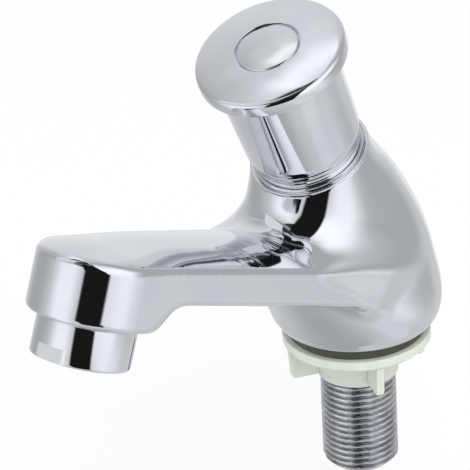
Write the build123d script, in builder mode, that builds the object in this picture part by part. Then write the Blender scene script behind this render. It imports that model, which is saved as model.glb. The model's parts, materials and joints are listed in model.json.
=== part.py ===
from build123d import *
from math import cos, radians, sin, tan
import os

# A push timed tap for a basin deck, in millimetres.
# The origin is where the shank's axis crosses the deck, +Z is up and the spout points to -Y.
# Pieces on the button's axis use heights along that axis, pieces on the outlet's axis use
# depths below the spout's flat top.

os.makedirs("parts", exist_ok=True)

# Fits and small gaps
running_fit = 0.05
seat_fit = 0.03
loose_fit = 0.25
cut_overrun = 4.0

# Threaded shank, a G 1/2 pipe thread drawn as rings of the thread's own section
thread_radius = 10.4775
thread_pitch = 1.814
thread_depth = 1.162
thread_crest_share = 0.2
shank_length = 41.0
shank_bore_radius = 6.6
shank_end_land = 0.8
shank_neck_length = 0.2
shank_spigot_height = 11.0
shank_ring_wire = 0.8
shank_ring_height = 7.4

# Strainer pushed into the shank's open end
strainer_height = 3.0
strainer_wall = 1.0
strainer_plate = 0.8
strainer_hole_radius = 0.7
strainer_hole_pitch = 2.1
strainer_ring_count = 3

# Rubber gasket under the body
gasket_radius = 18.8
gasket_thickness = 2.8
gasket_edge_radius = 0.5

# Wing backnut and its slip washer
nut_flange_radius = 20.5
nut_flange_rim = 2.4
nut_flange_foot = 3.5
nut_flange_foot_radius = 19.2
nut_height = 13.0
nut_hub_top_radius = 12.2
nut_hub_foot_radius = 11.2
nut_wing_count = 4
nut_wing_thickness = 2.1
nut_wing_radius = 19.9
nut_wing_foot_radius = 19.4
nut_wing_depth = 11.8
nut_wing_corner = 1.2
nut_wing_turn = -32.0
slip_washer_radius = 16.5
slip_washer_thickness = 0.8

# Outside of the body, from the foot to the neck's rim
foot_edge_radius = 2.6
belly_radius = 23.7
neck_tilt = 22.5
neck_offset = 8.18
neck_rim_height = 65.9
neck_rim_radius = 16.35
neck_rim_edge = 0.8

# Spout, measured along and below its flat top
spout_tilt = 22.5
spout_top_height = 24.38
spout_start = 6.0
spout_taper = 2.86
spout_rear_depth = 10.9
spout_front_depth = 9.3
spout_top_edge = 1.4
spout_low_edge = 1.8
tip_distance = 106.65
tip_radius = 16.4
block_depth = 17.0
block_foot_radius = 18.0
block_forward = 1.5
block_slope = 31.0
block_edge = 1.4
crease_fillet_share = 0.25

# Waterways inside the body
body_recess_radius = 17.5
body_recess_depth = 8.0
boss_wall = 3.4
inlet_bore_height = 19.0
inlet_chamber_low = 15.5
inlet_chamber_radius = 9.8
partition_low = 29.5
pocket_floor = 34.0
pocket_radius = 13.2
rim_recess_radius = 15.4
rim_recess_depth = 0.7
channel_start = 15.5
channel_top = 2.6
channel_low = 7.4
channel_half_width = 11.0
throat_radius = 9.0
outlet_seat_depth = 8.0
outlet_bore_radius = 11.5

# Cartridge housing
nose_radius = 9.3
nose_drop = 1.0
nose_floor = 33.0
seat_bore_radius = 5.6
seat_lip = 0.6
seat_lip_width = 1.0
housing_radius = 10.4
valve_space_radius = 8.4
valve_space_top = 44.0
guide_top = 48.0
housing_top = 76.0
housing_flange_low = 49.6
housing_flange_top = 54.0
timing_radius = 8.0
window_width = 6.0
window_low = 35.4
window_top = 41.6
bleed_radius = 0.5
bleed_distance = 4.35
needle_head_radius = 0.9
needle_head = 0.7
needle_drop = 0.8
housing_ring_wire = 0.8

# Bonnet, the fixed collar that the button slides over
bonnet_radius = 14.3
bonnet_top = 84.0
bonnet_lid = 6.0
bonnet_top_chamfer = 0.8
bonnet_flare_radius = 15.2
bonnet_flare_band = 0.5
bonnet_flare_rise = 0.3
bonnet_ring_height = 60.0
bonnet_line_height = 68.2
bonnet_line_width = 0.5
bonnet_line_depth = 0.25
bush_radius = 5.2
bush_flange_radius = 6.6
bush_flange = 1.0
stem_ring_height = 81.6
stem_ring_wire = 0.7

# Moving parts on the stem
press_travel = 3.8
press_clearance = 0.2
stem_radius = 3.0
stem_collar_radius = 4.4
stem_collar = 1.2
stem_thread_radius = 2.2
stem_end = 1.1
washer_radius = 7.2
washer_thickness = 2.0
holder_radius = 7.9
holder_base = 1.2
holder_lip = 1.4
lock_nut_across = 8.0
lock_nut_height = 2.6
piston_low = 66.0
piston_height = 5.0
piston_groove_low = 1.5
piston_groove = 2.0
piston_core_radius = 5.8
cup_wall = 0.6
cup_floor = 0.8
clip_radius = 4.6
clip_thickness = 0.8
clip_groove_depth = 0.6
clip_mouth_half = 1.6

# Return spring under the piston
spring_wire = 1.2
spring_radius = 6.2
spring_turns = 5

# Push button
cap_bevel_height = 2.5
cap_bevel_radius = 15.0
cap_skirt_low_radius = 15.7
cap_skirt_top_radius = 16.6
cap_inner_radius = 14.65
cap_skirt_top = 98.4
cap_roof = 100.0
head_radius = 20.4
head_low_edge = 0.7
head_band_low = 98.9
head_band_top = 101.3
head_shoulder_radius = 19.2
head_shoulder = 102.75
head_top = 105.05
cap_round_share = 1.2
disc_radius = 8.5
disc_groove = 0.45
disc_floor = 103.5
disc_edge = 0.35
boss_radius = 5.5
boss_low = 93.0
screw_radius = 2.0
screw_length = 13.0
screw_head_radius = 3.8
screw_head = 2.2
screw_slot = 1.0
screw_slot_depth = 1.2

# Aerator in the outlet
outlet_ring_radius = 13.05
outlet_ring_low = 28.0
outlet_ring_gap = 0.35
outlet_ring_edge = 0.7
flat_depth = 0.8
flat_height = 4.0
aerator_neck_radius = 11.4
aerator_bore_radius = 10.1
aerator_lip_radius = 9.3
aerator_lip = 1.2
seal_thickness = 1.6
seal_bore_radius = 8.6
insert_low = 24.0
insert_wall = 1.1
insert_floor = 1.4
jet_radius = 0.7
jet_circle_radius = 6.6
jet_count = 16
regulator_radius = 5.2
regulator_height = 2.6
regulator_hole = 1.1
screen_thickness = 0.6
screen_hole = 0.6
screen_pitch = 1.9
screen_rows = 9
grid_hole = 1.0
grid_pitch = 2.6

# The three frames that the pieces are drawn in
neck = Plane(
    origin=(0, neck_offset, 0),
    x_dir=(1, 0, 0),
    z_dir=Vector(0, 0, 1).rotate(Axis.X, neck_tilt),
)
neck_section = Plane(origin=neck.origin, x_dir=neck.x_dir, z_dir=-neck.y_dir)
neck_axis = Axis(neck.origin, neck.z_dir)
spout = Plane(
    origin=(0, 0, spout_top_height),
    x_dir=(1, 0, 0),
    z_dir=Vector(0, 0, 1).rotate(Axis.X, -spout_tilt),
)
spout_side = Plane(origin=spout.origin, x_dir=-spout.y_dir, z_dir=-spout.x_dir)
outlet = Plane(
    origin=spout.from_local_coords(Vector(0, -tip_distance, 0)),
    x_dir=spout.x_dir,
    z_dir=spout.z_dir,
)
outlet_section = Plane(origin=outlet.origin, x_dir=outlet.x_dir, z_dir=-outlet.y_dir)
outlet_axis = Axis(outlet.origin, outlet.z_dir)
block = Plane(
    origin=outlet.from_local_coords(Vector(0, -block_forward, 0)),
    x_dir=outlet.x_dir,
    z_dir=-outlet.y_dir,
)
block_axis = Axis(block.origin, outlet.z_dir)


def write(node, builder):
    """Label a finished sub-part with its node's name and write it."""
    builder.part.label = node
    export_step(builder.part, f"parts/{node}.step")


def outline(plane, *points):
    """A closed face through points given as (radius, height) in a section plane."""
    with BuildSketch(plane) as face:
        with BuildLine():
            Polyline(*points, close=True)
        make_face()
    return face.sketch


def seal_ring(plane, axis, radius, height, wire):
    """A round sealing ring whose wire is centred at a radius and height."""
    with BuildSketch(plane) as face:
        with Locations((radius, height)):
            Circle(wire - running_fit)
    with BuildPart() as solid:
        revolve(face.sketch, axis=axis)
    return solid.part


def seal_groove(plane, axis, radius, height, wire):
    """The groove for a sealing ring, cut two wires deep into the wall at a radius."""
    with BuildSketch(plane) as face:
        with Locations((radius, height)):
            Rectangle(4 * wire, 2 * wire + running_fit)
    with BuildPart() as solid:
        revolve(face.sketch, axis=axis)
    return solid.part


def hole_places(pitch):
    """Hexagonal places at a pitch that lie clear of the aerator ring's lip."""
    reach = aerator_lip_radius - pitch / 2
    grid = HexLocations(pitch / 2, screen_rows, screen_rows)
    return [place for place in grid.local_locations if place.position.length < reach]


# Outside of the body
# Each station is a half circle behind and a half ellipse in front, in a plane that leans
# further forward with height. The front half reaches out under the spout and back again.
# A turned foot with a rounded edge lies below the stations and a turned rim above them.
foot_top = gasket_thickness + foot_edge_radius
rim_centre = neck.from_local_coords(Vector(0, 0, neck_rim_height - neck_rim_edge))
neck_flare = belly_radius - neck_rim_radius
station_height_shares = (0, 0.066, 0.268, 0.490, 0.638, 0.765, 0.893, 1)
station_shift_shares = (0, 0, 0.06, 0.245, 0.42, 0.60, 0.845, 1)
station_tilt_shares = (0, 0, 0.13, 0.40, 0.58, 0.74, 0.92, 1)
station_flare_shares = (0.88, 1, 0.94, 0.79, 0.60, 0.38, 0.15, 0)
station_front_shares = (0, 0.03, 0.22, 0.43, 0.68, 0.46, 0.10, 0)


def body_station(index):
    """The outline of the body's outside at one of its stations."""
    radius = neck_rim_radius + neck_flare * station_flare_shares[index]
    front = radius + belly_radius * station_front_shares[index]
    station_plane = Plane(
        origin=(
            0,
            rim_centre.Y * station_shift_shares[index],
            foot_top + (rim_centre.Z - foot_top) * station_height_shares[index],
        ),
        x_dir=(1, 0, 0),
        z_dir=Vector(0, 0, 1).rotate(Axis.X, neck_tilt * station_tilt_shares[index]),
    )
    with BuildSketch(station_plane) as face:
        with BuildLine():
            CenterArc((0, 0), radius, 0, 180)
            EllipticalCenterArc((0, 0), radius, front, 180, arc_size=180)
        make_face()
    return face.sketch


def rounded_disc(plane, axis, radius, flat_height, round_height):
    """A turned disc from a flat side to the height at which its rounded edge ends."""
    edge = abs(round_height - flat_height)
    lean = edge * cos(radians(45))
    round_middle = flat_height + (round_height - flat_height) * (1 - cos(radians(45)))
    with BuildSketch(plane) as face:
        with BuildLine():
            ThreePointArc(
                (radius - edge, flat_height),
                (radius - edge + lean, round_middle),
                (radius, round_height),
            )
            Polyline(
                (radius, round_height), (0, round_height), (0, flat_height), (radius - edge, flat_height)
            )
        make_face()
    with BuildPart() as solid:
        revolve(face.sketch, axis=axis)
    return solid.part


foot_radius = neck_rim_radius + neck_flare * station_flare_shares[0]
with BuildPart() as column:
    loft([body_station(index) for index in range(len(station_height_shares))])
    add(rounded_disc(Plane.XZ, Axis.Z, foot_radius, gasket_thickness, foot_top))
    add(
        rounded_disc(
            neck_section,
            neck_axis,
            neck_rim_radius,
            neck_rim_height,
            neck_rim_height - neck_rim_edge,
        )
    )

# The space under the spout: all that lies below its underside and outside the outlet block
spout_end = tip_distance + tip_radius + cut_overrun
block_top_radius = block_foot_radius + block_depth * tan(radians(block_slope))
with BuildPart() as underside:
    with BuildSketch(spout_side):
        with BuildLine():
            Polyline(
                (spout_start - cut_overrun, -spout_rear_depth),
                (spout_end, -spout_front_depth),
                (spout_end, -block_depth - cut_overrun),
                (spout_start - cut_overrun, -block_depth - cut_overrun),
                close=True,
            )
        make_face()
    extrude(amount=belly_radius + cut_overrun, both=True)
    cone = outline(
        block,
        (0, 0),
        (block_top_radius, 0),
        (block_foot_radius, -block_depth),
        (block_foot_radius, -block_depth - 2 * cut_overrun),
        (0, -block_depth - 2 * cut_overrun),
    )
    revolve(cone, axis=block_axis, mode=Mode.SUBTRACT)

# The spout seen square to its top: two slightly spreading sides and a round tip
side_lean = radians(spout_taper)
spout_half_width = tip_radius / cos(side_lean) + (tip_distance - spout_start) * tan(side_lean)
with BuildPart() as spout_blank:
    with BuildSketch(spout):
        with BuildLine():
            tip_left = (-tip_radius * cos(side_lean), -tip_distance - tip_radius * sin(side_lean))
            tip_right = (tip_radius * cos(side_lean), -tip_distance - tip_radius * sin(side_lean))
            ThreePointArc(tip_left, (0, -tip_distance - tip_radius), tip_right)
            Polyline(
                tip_right,
                (spout_half_width, -spout_start),
                (-spout_half_width, -spout_start),
                tip_left,
            )
        make_face()
    extrude(amount=-block_depth)
    add(underside.part, mode=Mode.SUBTRACT)
    # One rounding runs along the low side edges, down the block's slope and across its heel
    block_heel = tip_distance + block_forward - (block_foot_radius + block_top_radius) / 2
    low_corners = [spout_side.from_local_coords(Vector(block_heel, -spout_front_depth))]
    for side in (-1, 1):
        middle = Vector(side * spout_half_width, -tip_distance / 2, -spout_rear_depth)
        low_corners.append(spout.from_local_coords(middle))
        slope = Vector(side * tip_radius, -tip_distance + block_depth / 2, -block_depth)
        low_corners.append(spout.from_local_coords(slope))
    low_edges = [spout_blank.edges().sort_by_distance(corner)[0] for corner in low_corners]
    fillet(low_edges, spout_low_edge)
    fillet(spout_blank.faces().sort_by(outlet_axis)[0].edges(), block_edge)
    fillet(spout_blank.faces().sort_by(outlet_axis)[-1].edges(), spout_top_edge)

# Sizes that follow from others
thread_root_radius = thread_radius - thread_depth
spigot_bore_radius = thread_root_radius + seat_fit
rim_floor = neck_rim_height - rim_recess_depth
nose_low = partition_low - nose_drop
flange_radius = pocket_radius - seat_fit
nose_ring_height = (partition_low + pocket_floor) / 2
flange_ring_height = (housing_flange_low + housing_flange_top) / 2
flare_low = rim_floor + bonnet_flare_band
flare_top = flare_low + bonnet_flare_rise
cap_low = flare_top + press_clearance + press_travel
bonnet_bore_radius = housing_radius + running_fit
bonnet_floor = bonnet_top - bonnet_lid
guide_radius = stem_radius + running_fit
washer_top = nose_low - seat_lip
washer_low = washer_top - washer_thickness
holder_low = washer_low - holder_base
lock_nut_low = holder_low - lock_nut_height
piston_top = piston_low + piston_height
screw_seat = disc_floor - screw_head - running_fit
stem_hole_low = screw_seat - screw_length - screw_slot
seal_low = outlet_seat_depth + seal_thickness
grid_low = outlet_ring_low - aerator_lip

# Body casting: outside, waterways, cartridge pocket and outlet bore
with BuildPart() as body_casting:
    add(column.part)
    add(spout_blank.part)
    creases = body_casting.edges(Select.NEW).filter_by(GeomType.BSPLINE)
    fillet(creases.sort_by(SortBy.LENGTH)[-1], neck_flare * crease_fillet_share)
    # Hollow foot round the boss that carries the shank
    with BuildSketch(Plane.XY.offset(gasket_thickness)):
        Circle(body_recess_radius)
        Circle(spigot_bore_radius + boss_wall, mode=Mode.SUBTRACT)
    extrude(amount=body_recess_depth, mode=Mode.SUBTRACT)
    with BuildSketch(Plane.XY.offset(gasket_thickness)):
        Circle(spigot_bore_radius)
    extrude(amount=shank_spigot_height - gasket_thickness, mode=Mode.SUBTRACT)
    with BuildSketch(Plane.XY.offset(shank_spigot_height)):
        Circle(shank_bore_radius)
    extrude(amount=inlet_bore_height - shank_spigot_height, mode=Mode.SUBTRACT)
    # Inlet chamber, nose bore, cartridge pocket and the recess that the bonnet's flare sits in
    pocket = outline(
        neck_section,
        (0, inlet_chamber_low),
        (inlet_chamber_radius, inlet_chamber_low),
        (inlet_chamber_radius, partition_low),
        (nose_radius + seat_fit, partition_low),
        (nose_radius + seat_fit, pocket_floor),
        (pocket_radius, pocket_floor),
        (pocket_radius, rim_floor),
        (rim_recess_radius, rim_floor),
        (rim_recess_radius, neck_rim_height + cut_overrun),
        (0, neck_rim_height + cut_overrun),
    )
    revolve(pocket, axis=neck_axis, mode=Mode.SUBTRACT)
    # Flat channel along the spout, the throat at its end and the threaded outlet bore
    with BuildSketch(spout.offset(-channel_low)):
        with Locations((0, -(channel_start + tip_distance) / 2)):
            Rectangle(2 * channel_half_width, tip_distance - channel_start)
        with Locations((0, -tip_distance)):
            Circle(channel_half_width)
    extrude(amount=channel_low - channel_top, mode=Mode.SUBTRACT)
    throat = outline(
        outlet_section,
        (0, -channel_low),
        (throat_radius, -channel_low),
        (throat_radius, -outlet_seat_depth),
        (outlet_bore_radius, -outlet_seat_depth),
        (outlet_bore_radius, -block_depth - cut_overrun),
        (0, -block_depth - cut_overrun),
    )
    revolve(throat, axis=outlet_axis, mode=Mode.SUBTRACT)
write("body_casting", body_casting)

# Threaded shank: one turned piece whose thread is drawn as rings
crest_half = thread_pitch * thread_crest_share / 2
flank = thread_pitch / 2 - 2 * crest_half
crest_count = int((shank_length - shank_end_land - shank_neck_length) / thread_pitch)
first_crest = -shank_neck_length - thread_pitch / 2
shank_points = [(shank_bore_radius, shank_spigot_height), (thread_root_radius, shank_spigot_height)]
for turn in range(crest_count):
    middle = first_crest - turn * thread_pitch
    shank_points.append((thread_root_radius, middle + crest_half + flank))
    shank_points.append((thread_radius, middle + crest_half))
    shank_points.append((thread_radius, middle - crest_half))
    shank_points.append((thread_root_radius, middle - crest_half - flank))
shank_points.append((thread_root_radius, shank_end_land - shank_length))
shank_points.append((thread_root_radius - shank_end_land, -shank_length))
shank_points.append((shank_bore_radius, -shank_length))
shank_groove = seal_groove(
    Plane.XZ, Axis.Z, thread_root_radius, shank_ring_height, shank_ring_wire
)
with BuildPart() as inlet_shank:
    revolve(outline(Plane.XZ, *shank_points), axis=Axis.Z)
    add(shank_groove, mode=Mode.SUBTRACT)
write("inlet_shank", inlet_shank)

with BuildPart() as shank_o_ring:
    add(
        seal_ring(
            Plane.XZ,
            Axis.Z,
            thread_root_radius - shank_ring_wire,
            shank_ring_height,
            shank_ring_wire,
        )
    )
write("shank_o_ring", shank_o_ring)

# Strainer: a shallow cup with rings of holes, pushed into the open end of the shank
strainer_radius = shank_bore_radius - seat_fit
with BuildPart() as inlet_strainer:
    with BuildSketch(Plane.XY.offset(-shank_length)):
        Circle(strainer_radius)
    extrude(amount=strainer_height)
    with BuildSketch(Plane.XY.offset(-shank_length)):
        Circle(strainer_radius - strainer_wall)
    extrude(amount=strainer_height - strainer_plate, mode=Mode.SUBTRACT)
    with BuildSketch(Plane.XY.offset(-shank_length)):
        Circle(strainer_hole_radius)
        for ring in range(1, strainer_ring_count):
            with PolarLocations(ring * strainer_hole_pitch, 6 * ring):
                Circle(strainer_hole_radius)
    extrude(amount=strainer_height, mode=Mode.SUBTRACT)
write("inlet_strainer", inlet_strainer)

# Rubber gasket between the body and the deck
nut_bore_radius = thread_radius + loose_fit
with BuildPart() as base_gasket:
    with BuildSketch():
        Circle(gasket_radius)
        Circle(nut_bore_radius, mode=Mode.SUBTRACT)
    extrude(amount=gasket_thickness)
    rim_circles = base_gasket.edges().filter_by(GeomType.CIRCLE).sort_by(SortBy.RADIUS)[-2:]
    fillet(rim_circles, gasket_edge_radius)
write("base_gasket", base_gasket)

# Slip washer: travels with the backnut without turning and lies in its face
with BuildPart() as slip_washer:
    with BuildSketch(Plane.XY.offset(-slip_washer_thickness)):
        Circle(slip_washer_radius)
        Circle(nut_bore_radius, mode=Mode.SUBTRACT)
    extrude(amount=slip_washer_thickness)
write("slip_washer", slip_washer)

# Wing backnut: round flange, tapering hub and upright wings
washer_recess_radius = slip_washer_radius + loose_fit
wing_inner_radius = (nut_bore_radius + nut_hub_foot_radius) / 2
with BuildPart() as nut_wing:
    with BuildSketch(Plane.XZ):
        with BuildLine():
            Polyline(
                (wing_inner_radius, -nut_flange_rim),
                (nut_wing_radius, -nut_flange_rim),
                (nut_wing_foot_radius, -nut_wing_depth),
                (wing_inner_radius, -nut_wing_depth),
                close=True,
            )
        make_face()
    extrude(amount=nut_wing_thickness / 2, both=True)
    outer_corner = nut_wing.edges().filter_by(Axis.Y).sort_by(Axis.Z)[:2].sort_by(Axis.X)[-1]
    fillet(outer_corner, nut_wing_corner)
with BuildPart() as backnut:
    nut_outline = outline(
        Plane.XZ,
        (nut_bore_radius, -slip_washer_thickness),
        (washer_recess_radius, -slip_washer_thickness),
        (washer_recess_radius, 0),
        (nut_flange_radius, 0),
        (nut_flange_radius, -nut_flange_rim),
        (nut_flange_foot_radius, -nut_flange_foot),
        (nut_hub_top_radius, -nut_flange_foot),
        (nut_hub_foot_radius, -nut_height),
        (nut_bore_radius, -nut_height),
    )
    revolve(nut_outline, axis=Axis.Z)
    with PolarLocations(0, nut_wing_count, start_angle=nut_wing_turn):
        add(nut_wing.part)
write("backnut", backnut)

# Cartridge housing: nose with the valve seat, windows, stem guide and timing chamber
side_section = Plane(origin=neck.origin, x_dir=neck.y_dir, z_dir=neck.x_dir)
with BuildPart() as cartridge_housing:
    housing_outline = outline(
        neck_section,
        (seat_bore_radius, washer_top),
        (seat_bore_radius + seat_lip_width, washer_top),
        (seat_bore_radius + seat_lip_width, nose_low),
        (nose_radius, nose_low),
        (nose_radius, pocket_floor),
        (housing_radius, pocket_floor),
        (housing_radius, housing_flange_low),
        (flange_radius, housing_flange_low),
        (flange_radius, housing_flange_top),
        (housing_radius, housing_flange_top),
        (housing_radius, housing_top),
        (timing_radius, housing_top),
        (timing_radius, guide_top),
        (guide_radius, guide_top),
        (guide_radius, valve_space_top),
        (valve_space_radius, valve_space_top),
        (valve_space_radius, nose_floor),
        (seat_bore_radius, nose_floor),
    )
    revolve(housing_outline, axis=neck_axis)
    for window_plane in (neck_section, side_section):
        with BuildSketch(window_plane):
            with Locations((0, (window_low + window_top) / 2)):
                Rectangle(window_width, window_top - window_low)
        extrude(amount=housing_radius + cut_overrun, both=True, mode=Mode.SUBTRACT)
    with BuildSketch(neck.offset(valve_space_top)):
        with Locations((bleed_distance, 0)):
            Circle(bleed_radius)
    extrude(amount=guide_top - valve_space_top, mode=Mode.SUBTRACT)
    add(
        seal_groove(neck_section, neck_axis, nose_radius, nose_ring_height, housing_ring_wire),
        mode=Mode.SUBTRACT,
    )
    add(
        seal_groove(neck_section, neck_axis, flange_radius, flange_ring_height, housing_ring_wire),
        mode=Mode.SUBTRACT,
    )
write("cartridge_housing", cartridge_housing)

with BuildPart() as nose_o_ring:
    nose_ring_radius = nose_radius - housing_ring_wire
    add(
        seal_ring(neck_section, neck_axis, nose_ring_radius, nose_ring_height, housing_ring_wire)
    )
write("nose_o_ring", nose_o_ring)

with BuildPart() as flange_o_ring:
    flange_ring_radius = flange_radius - housing_ring_wire
    add(
        seal_ring(
            neck_section, neck_axis, flange_ring_radius, flange_ring_height, housing_ring_wire
        )
    )
write("flange_o_ring", flange_o_ring)

# Timing needle: a headed pin in the bleed hole, which sets how slowly the button returns
with BuildPart() as timing_needle:
    with BuildSketch(neck.offset(valve_space_top - needle_drop)):
        with Locations((bleed_distance, 0)):
            Circle(bleed_radius - running_fit)
    extrude(amount=guide_top - valve_space_top + needle_drop)
    with BuildSketch(neck.offset(guide_top)):
        with Locations((bleed_distance, 0)):
            Circle(needle_head_radius)
    extrude(amount=needle_head)
write("timing_needle", timing_needle)

# Bonnet: screwed into the neck over the housing's flange, flared at the neck's rim
with BuildPart() as neck_bonnet:
    bonnet_outline = outline(
        neck_section,
        (bonnet_bore_radius, housing_flange_top),
        (flange_radius, housing_flange_top),
        (flange_radius, rim_floor),
        (bonnet_flare_radius, rim_floor),
        (bonnet_flare_radius, flare_low),
        (bonnet_radius, flare_top),
        (bonnet_radius, bonnet_line_height),
        (bonnet_radius - bonnet_line_depth, bonnet_line_height),
        (bonnet_radius - bonnet_line_depth, bonnet_line_height + bonnet_line_width),
        (bonnet_radius, bonnet_line_height + bonnet_line_width),
        (bonnet_radius, bonnet_top - bonnet_top_chamfer),
        (bonnet_radius - bonnet_top_chamfer, bonnet_top),
        (bush_radius, bonnet_top),
        (bush_radius, bonnet_floor),
        (bonnet_bore_radius, bonnet_floor),
    )
    revolve(bonnet_outline, axis=neck_axis)
    add(
        seal_groove(neck_section, neck_axis, flange_radius, bonnet_ring_height, housing_ring_wire),
        mode=Mode.SUBTRACT,
    )
write("neck_bonnet", neck_bonnet)

with BuildPart() as bonnet_o_ring:
    add(
        seal_ring(
            neck_section, neck_axis, flange_ring_radius, bonnet_ring_height, housing_ring_wire
        )
    )
write("bonnet_o_ring", bonnet_o_ring)

# Guide bush in the bonnet's lid, with the stem's sealing ring inside it
with BuildPart() as guide_bush:
    bush_outline = outline(
        neck_section,
        (guide_radius, bonnet_floor - bush_flange),
        (bush_flange_radius, bonnet_floor - bush_flange),
        (bush_flange_radius, bonnet_floor),
        (bush_radius - seat_fit, bonnet_floor),
        (bush_radius - seat_fit, bonnet_top),
        (guide_radius, bonnet_top),
    )
    revolve(bush_outline, axis=neck_axis)
    add(
        seal_groove(neck_section, neck_axis, guide_radius, stem_ring_height, stem_ring_wire),
        mode=Mode.SUBTRACT,
    )
write("guide_bush", guide_bush)

with BuildPart() as stem_o_ring:
    add(
        seal_ring(
            neck_section,
            neck_axis,
            guide_radius + stem_ring_wire,
            stem_ring_height,
            stem_ring_wire,
        )
    )
write("stem_o_ring", stem_o_ring)

# Plunger stem: threaded foot, shoulder on the washer, clip groove, collar and tapped top
with BuildPart() as plunger_stem:
    stem_outline = outline(
        neck_section,
        (0, lock_nut_low - stem_end),
        (stem_thread_radius, lock_nut_low - stem_end),
        (stem_thread_radius, washer_top),
        (stem_radius, washer_top),
        (stem_radius, piston_low - clip_thickness),
        (stem_radius - clip_groove_depth, piston_low - clip_thickness),
        (stem_radius - clip_groove_depth, piston_low),
        (stem_radius, piston_low),
        (stem_radius, piston_top),
        (stem_collar_radius, piston_top),
        (stem_collar_radius, piston_top + stem_collar),
        (stem_radius, piston_top + stem_collar),
        (stem_radius, boss_low),
        (screw_radius + seat_fit, boss_low),
        (screw_radius + seat_fit, stem_hole_low),
        (0, stem_hole_low),
    )
    revolve(stem_outline, axis=neck_axis)
write("plunger_stem", plunger_stem)

# Valve washer, the cup that holds it and the nut under it
stud_bore_radius = stem_thread_radius + seat_fit
with BuildPart() as valve_washer:
    washer_outline = outline(
        neck_section,
        (stud_bore_radius, washer_low),
        (washer_radius, washer_low),
        (washer_radius, washer_top),
        (stud_bore_radius, washer_top),
    )
    revolve(washer_outline, axis=neck_axis)
write("valve_washer", valve_washer)

with BuildPart() as washer_holder:
    holder_outline = outline(
        neck_section,
        (stud_bore_radius, holder_low),
        (holder_radius, holder_low),
        (holder_radius, washer_low + holder_lip),
        (washer_radius + seat_fit, washer_low + holder_lip),
        (washer_radius + seat_fit, washer_low),
        (stud_bore_radius, washer_low),
    )
    revolve(holder_outline, axis=neck_axis)
write("washer_holder", washer_holder)

with BuildPart() as lock_nut:
    with BuildSketch(neck.offset(lock_nut_low)):
        RegularPolygon(lock_nut_across / 2, 6, major_radius=False)
        Circle(stud_bore_radius, mode=Mode.SUBTRACT)
    extrude(amount=lock_nut_height)
write("lock_nut", lock_nut)

# Piston with its cup seal and the clip that holds it on the stem
groove_low = piston_low + piston_groove_low
groove_top = groove_low + piston_groove
with BuildPart() as piston:
    piston_outline = outline(
        neck_section,
        (stem_radius + seat_fit, piston_low),
        (timing_radius - loose_fit, piston_low),
        (timing_radius - loose_fit, groove_low),
        (piston_core_radius, groove_low),
        (piston_core_radius, groove_top),
        (timing_radius - loose_fit, groove_top),
        (timing_radius - loose_fit, piston_top),
        (stem_radius + seat_fit, piston_top),
    )
    revolve(piston_outline, axis=neck_axis)
write("piston", piston)

with BuildPart() as piston_cup_seal:
    cup_inner = piston_core_radius + seat_fit
    cup_outer = timing_radius - running_fit
    cup_outline = outline(
        neck_section,
        (cup_inner, groove_low),
        (cup_inner + cup_wall, groove_low),
        (cup_inner + cup_wall, groove_top - cup_floor),
        (cup_outer - cup_wall, groove_top - cup_floor),
        (cup_outer - cup_wall, groove_low),
        (cup_outer, groove_low),
        (cup_outer, groove_top),
        (cup_inner, groove_top),
    )
    revolve(cup_outline, axis=neck_axis)
write("piston_cup_seal", piston_cup_seal)

with BuildPart() as stem_clip:
    with BuildSketch(neck.offset(piston_low - clip_thickness)):
        Circle(clip_radius)
        Circle(stem_radius - clip_groove_depth + seat_fit, mode=Mode.SUBTRACT)
        with Locations((0, clip_radius / 2)):
            Rectangle(2 * clip_mouth_half, clip_radius, mode=Mode.SUBTRACT)
    extrude(amount=clip_thickness)
write("stem_clip", stem_clip)

# Return spring: one round wire wound between the guide and the piston
spring_low = guide_top + spring_wire / 2 + running_fit
spring_rise = piston_low - spring_wire / 2 - running_fit - spring_low
spring_pitch = spring_rise / spring_turns
with BuildPart() as return_spring:
    with BuildLine() as wire_line:
        Helix(
            pitch=spring_pitch,
            height=spring_rise,
            radius=spring_radius,
            center=neck.offset(spring_low).origin,
            direction=neck.z_dir,
        )
    with BuildSketch(Plane(origin=wire_line.line @ 0, z_dir=wire_line.line % 0)):
        Circle(spring_wire / 2)
    sweep(path=wire_line.line, is_frenet=True)
write("return_spring", return_spring)


def dome_height(radius):
    """Height of the button's crown at a radius: a parabola through the apex and shoulder."""
    return head_top - (head_top - head_shoulder) * (radius / head_shoulder_radius) ** 2


# Push cap: domed head and skirt in one, hollow below, with a boss for the stem
groove_radius = disc_radius + disc_groove
crown_middle = (groove_radius + head_shoulder_radius) / 2
with BuildPart() as push_cap:
    with BuildSketch(neck_section):
        with BuildLine():
            ThreePointArc(
                (groove_radius, dome_height(groove_radius)),
                (crown_middle, dome_height(crown_middle)),
                (head_shoulder_radius, head_shoulder),
            )
            RadiusArc(
                (head_shoulder_radius, head_shoulder),
                (head_radius, head_band_top),
                (head_shoulder - head_band_top) * cap_round_share,
            )
            Polyline(
                (head_radius, head_band_top),
                (head_radius, head_band_low + head_low_edge),
                (head_radius - head_low_edge, head_band_low),
                (cap_skirt_top_radius, cap_skirt_top),
                (cap_skirt_low_radius, cap_low + cap_bevel_height),
                (cap_bevel_radius, cap_low),
                (cap_inner_radius, cap_low),
                (cap_inner_radius, cap_roof),
                (boss_radius, cap_roof),
                (boss_radius, boss_low),
                (screw_radius + running_fit, boss_low),
                (screw_radius + running_fit, screw_seat),
                (screw_head_radius + running_fit, screw_seat),
                (screw_head_radius + running_fit, disc_floor),
                (groove_radius, disc_floor),
                (groove_radius, dome_height(groove_radius)),
            )
        make_face()
    revolve(axis=neck_axis)
write("push_cap", push_cap)

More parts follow.
